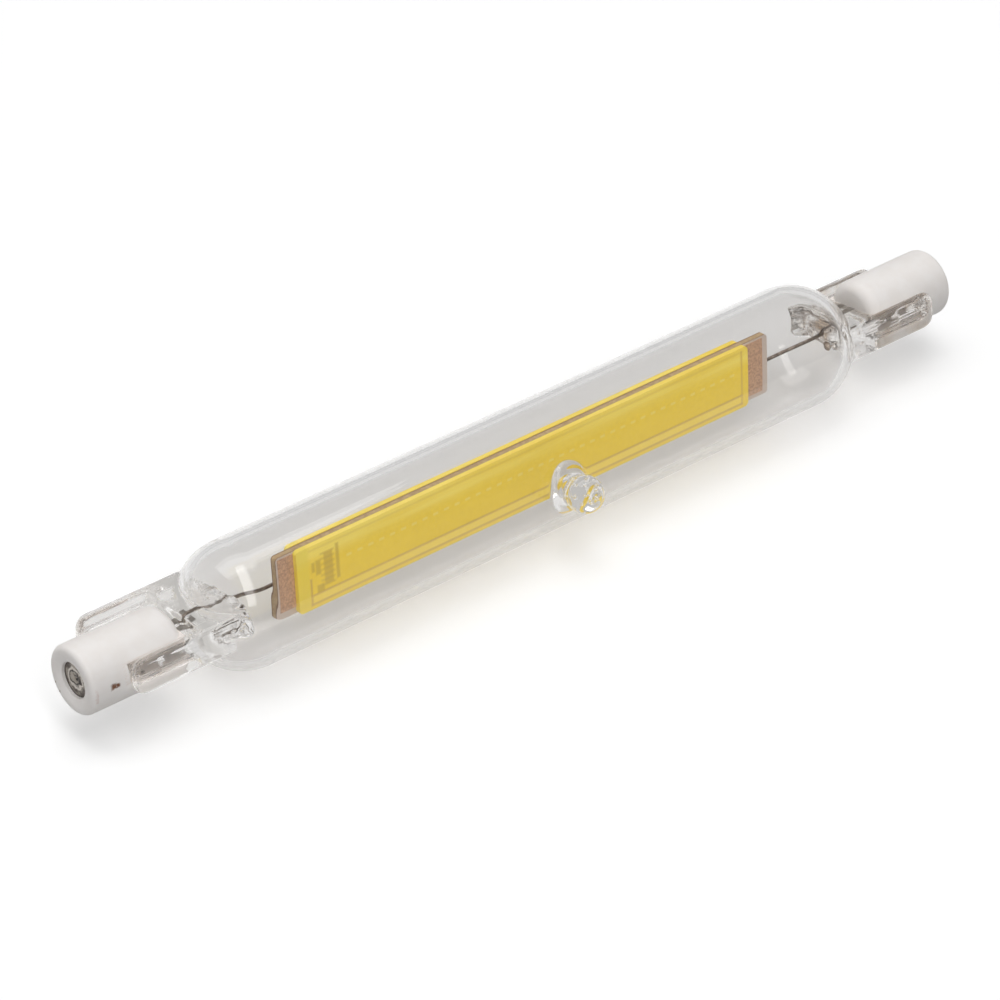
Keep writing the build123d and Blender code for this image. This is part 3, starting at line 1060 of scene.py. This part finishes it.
def contact(name, lift):
    """Pressed contact, dull and stained, with painted shade in a pit in the middle and in a crease round
    it, and a painted highlight on a ring.
    """
    look = Finish(name)
    flat = look.node(
        "ShaderNodeMapping", Vector=look.place, Location=(0, 0, -lift), Scale=(0, 1 / MM, 1 / MM)
    )
    reach = look.length(flat.outputs[0])
    wavy = look.step("ADD", reach, look.step("MULTIPLY", look.noise(800, 3, 0.6), 1.6))
    colour = look.mix(look.ramp(look.noise(1100, 4, 0.65), 0.4, 0.6), METAL_WORN, METAL_STAINED)
    # Painted highlight and painted shade of the pressed rings, then painted shade in the pit
    for radius, edge, full, shade in PAINTED_RINGS:
        gap = look.step("ABSOLUTE", look.step("SUBTRACT", wavy, radius))
        colour = look.mix(look.ramp(gap, edge, full), colour, shade)
    colour = look.mix(look.ramp(wavy, 1.1, 0.95), colour, PIT_SHADE)
    colour = look.mix(look.ramp(reach, 1.6, 1.85), colour, METAL_RIM)
    look.set(
        Base_Color=colour,
        Metallic=0.5,
        Roughness=0.45,
        Normal=look.bump(look.noise(1600, 4), 0.08),
    )
    return look.material


def ceramic(name, marks):
    """White ceramic with the faintest mottling, and a few brown marks from handling."""
    look = Finish(name)
    patch = look.ramp(look.noise(500, 4, 0.6), 0.35, 0.65)
    colour = look.mix(patch, CERAMIC_WHITE, CERAMIC_WARM)
    ragged = look.node("ShaderNodeTexNoise", Vector=look.place, Scale=2200.0, Detail=3.0)
    shift = look.vector_step("SUBTRACT", ragged.outputs["Color"], (0.5, 0.5, 0.5))
    shift = look.vector_step("MULTIPLY", shift, MARK_SCATTER)
    scattered = look.vector_step("ADD", look.stretched(MILLIMETRES), shift)
    broken = look.ramp(look.noise(4000, 4, 0.7), 0.3, 0.5)
    for middle, half, share, stain in marks:
        mask = look.step("MULTIPLY", soft_box(look, scattered, middle, half, MARK_SOFT), broken)
        colour = look.paint(colour, mask, share, stain)
    look.set(Base_Color=colour, Roughness=0.55, Normal=look.bump(look.noise(3600, 3), 0.006))
    return look.material


GLASS = clear_glass()
CERAMIC = {
    "left": ceramic("marked_ceramic", MARKS),
    "right": ceramic("white_ceramic", ()),
}
CEMENT = mottled("set_cement", tone(246, 240, 236), tone(240, 231, 224), 1500, 0.7)
CONTACT = {name: contact(f"worn_contact_{name}", seal["cap_lift"]) for name, seal in SEALS.items()}
FOIL = mottled("seal_foil", tone(158, 152, 145), tone(104, 98, 93), 900, 0.35, 0.4)
WIRE = mottled("lead_wire", tone(150, 138, 126), tone(96, 84, 76), 2500, 0.3, 1.0)
SOLDER = mottled("solder", tone(200, 200, 198), tone(160, 158, 155), 900, 0.3, 1.0)
BOARD = laminate()
COPPER = mottled("bare_copper", tone(230, 186, 150), tone(192, 152, 126), 4000, 0.5, 0.15)
CHIP = mottled("light_chip", tone(225, 220, 190), tone(200, 195, 160), 3000, 0.4)
MOULDING = mottled("driver_moulding", tone(90, 72, 60), tone(60, 48, 42), 1500, 0.5)
PHOSPHOR = phosphor("phosphor_over_driver", DRIVER_PARTS)
PHOSPHOR_BACK = phosphor("phosphor", ())

SLOT_FINISHES = {
    "glass": GLASS,
    "ceramic": CERAMIC["left"],
    "cement": CEMENT,
    "contact_metal": CONTACT["left"],
    "foil_metal": FOIL,
    "lead_metal": WIRE,
    "solder": SOLDER,
    "board_laminate": BOARD,
    "copper": COPPER,
    "chip": CHIP,
    "driver_moulding": MOULDING,
    "phosphor": PHOSPHOR,
}
for part in frame["record"]["subparts"]:
    node = frame["nodes"][part["node"]]
    node.data.materials.clear()
    node.data.materials.append(SLOT_FINISHES[part["material_slot"]])

frame["nodes"]["phosphor_back"].data.materials[0] = PHOSPHOR_BACK
frame["nodes"]["contact_right"].data.materials[0] = CONTACT["right"]

add_piece(glass_body(), "clear_envelope", GLASS, ["glass_envelope"])
for name in LEADS:
    add_piece(lead(name), f"bent_lead_{name}", WIRE, [f"lead_wire_{name}"])
    add_piece(foil(name), f"foil_strips_{name}", FOIL, [f"foil_{name}"], smooth=False)
for name, seal in SEALS.items():
    cap = add_piece(ceramic_cap(seal), f"slotted_cap_{name}", CERAMIC[name], [f"end_cap_{name}"])
    round_edges = cap.modifiers.new("edges", "BEVEL")
    round_edges.width = SLOT_EDGE * MM
    round_edges.segments = 3
    round_edges.limit_method = "ANGLE"
    round_edges.angle_limit = radians(SHARP_TURN)


# Floor, lamps and camera


def pale_floor():
    """White sheet, brighter where nothing covers it and duller in what the lamp shows of it."""
    look = Finish("pale_floor")
    path = look.nodes.new("ShaderNodeLightPath").outputs
    bare = look.step("ADD", path["Is Camera Ray"], path["Is Glossy Ray"])
    through = look.step("MULTIPLY", path["Is Transmission Ray"], FLOOR_LESS_THROUGH_GLASS)
    bounced = look.step("MULTIPLY", path["Is Diffuse Ray"], FLOOR_LESS_BOUNCED)
    sheet = look.step("SUBTRACT", FLOOR_WHITE, through)
    sheet = look.step("SUBTRACT", sheet, bounced)
    look.set(
        Base_Color=sheet,
        Roughness=1.0,
        Specular_IOR_Level=0.0,
        Emission_Color=(1, 1, 1, 1),
        Emission_Strength=look.step("MULTIPLY", bare, FLOOR_GLOW),
    )
    return look.material


def floor():
    bm = bmesh.new()
    bmesh.ops.create_grid(bm, x_segments=1, y_segments=1, size=FLOOR_REACH)
    bmesh.ops.translate(bm, vec=(0, 0, CAD_BOX[0][2]), verts=bm.verts)
    plane = scrap(bm, "floor")
    plane.data.materials.append(pale_floor())


def lamp(name, centre, size, power):
    """A soft lamp that points at the middle of the part."""
    light = bpy.data.lights.new(name, "AREA")
    light.shape = "RECTANGLE"
    light.size, light.size_y = size
    light.energy = power
    obj = bpy.data.objects.new(name, light)
    obj.location = centre
    obj.rotation_euler = (-Vector(centre)).to_track_quat("-Z", "Y").to_euler()
    bpy.context.scene.collection.objects.link(obj)


def surroundings():
    """A white room for what is seen directly or through glass, and a dim one for the rest."""
    world = bpy.data.worlds.new("surroundings")
    bpy.context.scene.world = world
    world.use_nodes = True
    wiring = Wiring(world.node_tree)
    path = wiring.nodes.new("ShaderNodeLightPath").outputs
    seen = wiring.step("MAXIMUM", path["Is Camera Ray"], path["Is Transmission Ray"])
    sky = wiring.nodes.new("ShaderNodeTexCoord").outputs["Generated"]
    sky = wiring.node("ShaderNodeSeparateXYZ", Vector=sky).outputs
    white = wiring.spread(sky["Z"], *ROOM_HEIGHTS, *ROOM_WHITES)
    dim = wiring.spread(sky["X"], *ROOM_SIDES, *ROOM_DIMS)
    level = wiring.spread(seen, 0.0, 1.0, dim, white)
    wiring.fill(wiring.nodes["Background"], {"Strength": level, "Color": (1, 1, 1, 1)})


def camera():
    view = bpy.data.cameras.new("camera")
    view.lens = LENS
    view.sensor_width = SENSOR
    obj = bpy.data.objects.new("camera", view)
    obj.location = CAMERA_PLACE
    obj.rotation_euler = Vector(CAMERA_AIM).to_track_quat("-Z", "Y").to_euler()
    bpy.context.scene.collection.objects.link(obj)
    bpy.context.scene.camera = obj


floor()
surroundings()
lamp("overhead", (0.05, 0.25, 0.9), (0.9, 0.6), 2.9)
lamp("front_strip", (-0.1, -0.33, 0.66), (0.22, 1.1), 2.4)
camera()
bpy.context.scene.view_settings.view_transform = "Standard"
bpy.context.scene.cycles.max_bounces = LONG_WAY + 2
bpy.context.scene.cycles.transmission_bounces = LONG_WAY + 2
bpy.context.scene.cycles.glossy_bounces = LONG_WAY + 2
